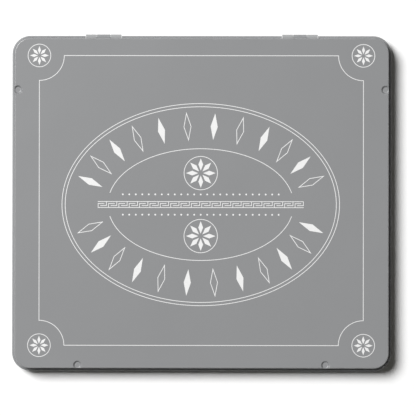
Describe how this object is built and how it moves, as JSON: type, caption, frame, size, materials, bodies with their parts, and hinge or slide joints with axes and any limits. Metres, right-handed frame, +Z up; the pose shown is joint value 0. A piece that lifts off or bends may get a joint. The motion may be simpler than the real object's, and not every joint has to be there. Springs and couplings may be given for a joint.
{
  "type": "coloured pencil box",
  "caption": "Flat hinged tin box with rounded corners, a rolled edge and pressed stop dents, holding a row of sharpened coloured pencils in a moulded tray.",
  "frame": {"origin": "middle of the base's flat underside, where the tin rests", "axes": "+X to the right along the row of pencils, +Y towards the hinges at the back, +Z up through the lid"},
  "size_m": [0.2138, 0.1898, 0.0134],
  "materials": {
    "grey_enamel": "satin",
    "pin_steel": "drawn",
    "tray_plastic": "moulded",
    "lacquer_white": "gloss lacquer",
    "core_white": "wax and pigment",
    "lacquer_ivory": "gloss lacquer",
    "core_ivory": "wax and pigment",
    "lacquer_lemon_yellow": "gloss lacquer",
    "core_lemon_yellow": "wax and pigment",
    "lacquer_golden_yellow": "gloss lacquer",
    "core_golden_yellow": "wax and pigment",
    "lacquer_orange": "gloss lacquer",
    "core_orange": "wax and pigment",
    "lacquer_vermilion": "gloss lacquer",
    "core_vermilion": "wax and pigment",
    "lacquer_scarlet": "gloss lacquer",
    "core_scarlet": "wax and pigment",
    "lacquer_carmine": "gloss lacquer",
    "core_carmine": "wax and pigment",
    "lacquer_rose_pink": "gloss lacquer",
    "core_rose_pink": "wax and pigment",
    "lacquer_magenta": "gloss lacquer",
    "core_magenta": "wax and pigment",
    "lacquer_violet": "gloss lacquer",
    "core_violet": "wax and pigment",
    "lacquer_indigo": "gloss lacquer",
    "core_indigo": "wax and pigment",
    "lacquer_ultramarine": "gloss lacquer",
    "core_ultramarine": "wax and pigment",
    "lacquer_azure_blue": "gloss lacquer",
    "core_azure_blue": "wax and pigment",
    "lacquer_turquoise": "gloss lacquer",
    "core_turquoise": "wax and pigment",
    "lacquer_emerald_green": "gloss lacquer",
    "core_emerald_green": "wax and pigment",
    "lacquer_grass_green": "gloss lacquer",
    "core_grass_green": "wax and pigment",
    "lacquer_light_green": "gloss lacquer",
    "core_light_green": "wax and pigment",
    "lacquer_olive_green": "gloss lacquer",
    "core_olive_green": "wax and pigment",
    "lacquer_yellow_ochre": "gloss lacquer",
    "core_yellow_ochre": "wax and pigment",
    "lacquer_sienna": "gloss lacquer",
    "core_sienna": "wax and pigment",
    "lacquer_umber_brown": "gloss lacquer",
    "core_umber_brown": "wax and pigment",
    "lacquer_grey": "gloss lacquer",
    "core_grey": "wax and pigment",
    "lacquer_black": "gloss lacquer",
    "core_black": "wax and pigment"
  },
  "bodies": {
    "base": {"base_shell": "grey_enamel", "insert_tray": "tray_plastic", "left_hinge_leaf": "grey_enamel", "left_hinge_pin": "pin_steel", "right_hinge_leaf": "grey_enamel", "right_hinge_pin": "pin_steel", "pencil_01_casing": "lacquer_white", "pencil_01_core": "core_white", "pencil_02_casing": "lacquer_ivory", "pencil_02_core": "core_ivory", "pencil_03_casing": "lacquer_lemon_yellow", "pencil_03_core": "core_lemon_yellow", "pencil_04_casing": "lacquer_golden_yellow", "pencil_04_core": "core_golden_yellow", "pencil_05_casing": "lacquer_orange", "pencil_05_core": "core_orange", "pencil_06_casing": "lacquer_vermilion", "pencil_06_core": "core_vermilion", "pencil_07_casing": "lacquer_scarlet", "pencil_07_core": "core_scarlet", "pencil_08_casing": "lacquer_carmine", "pencil_08_core": "core_carmine", "pencil_09_casing": "lacquer_rose_pink", "pencil_09_core": "core_rose_pink", "pencil_10_casing": "lacquer_magenta", "pencil_10_core": "core_magenta", "pencil_11_casing": "lacquer_violet", "pencil_11_core": "core_violet", "pencil_12_casing": "lacquer_indigo", "pencil_12_core": "core_indigo", "pencil_13_casing": "lacquer_ultramarine", "pencil_13_core": "core_ultramarine", "pencil_14_casing": "lacquer_azure_blue", "pencil_14_core": "core_azure_blue", "pencil_15_casing": "lacquer_turquoise", "pencil_15_core": "core_turquoise", "pencil_16_casing": "lacquer_emerald_green", "pencil_16_core": "core_emerald_green", "pencil_17_casing": "lacquer_grass_green", "pencil_17_core": "core_grass_green", "pencil_18_casing": "lacquer_light_green", "pencil_18_core": "core_light_green", "pencil_19_casing": "lacquer_olive_green", "pencil_19_core": "core_olive_green", "pencil_20_casing": "lacquer_yellow_ochre", "pencil_20_core": "core_yellow_ochre", "pencil_21_casing": "lacquer_sienna", "pencil_21_core": "core_sienna", "pencil_22_casing": "lacquer_umber_brown", "pencil_22_core": "core_umber_brown", "pencil_23_casing": "lacquer_grey", "pencil_23_core": "core_grey", "pencil_24_casing": "lacquer_black", "pencil_24_core": "core_black"},
    "lid": {"lid_shell": "grey_enamel"}
  },
  "joints": [
    {"name": "lid_hinge", "type": "hinge", "parent": "base", "child": "lid", "pos_m": [0, 0.09388, 0.00679], "axis": [-1, 0, 0], "range_deg": [0, 180]}
  ]
}
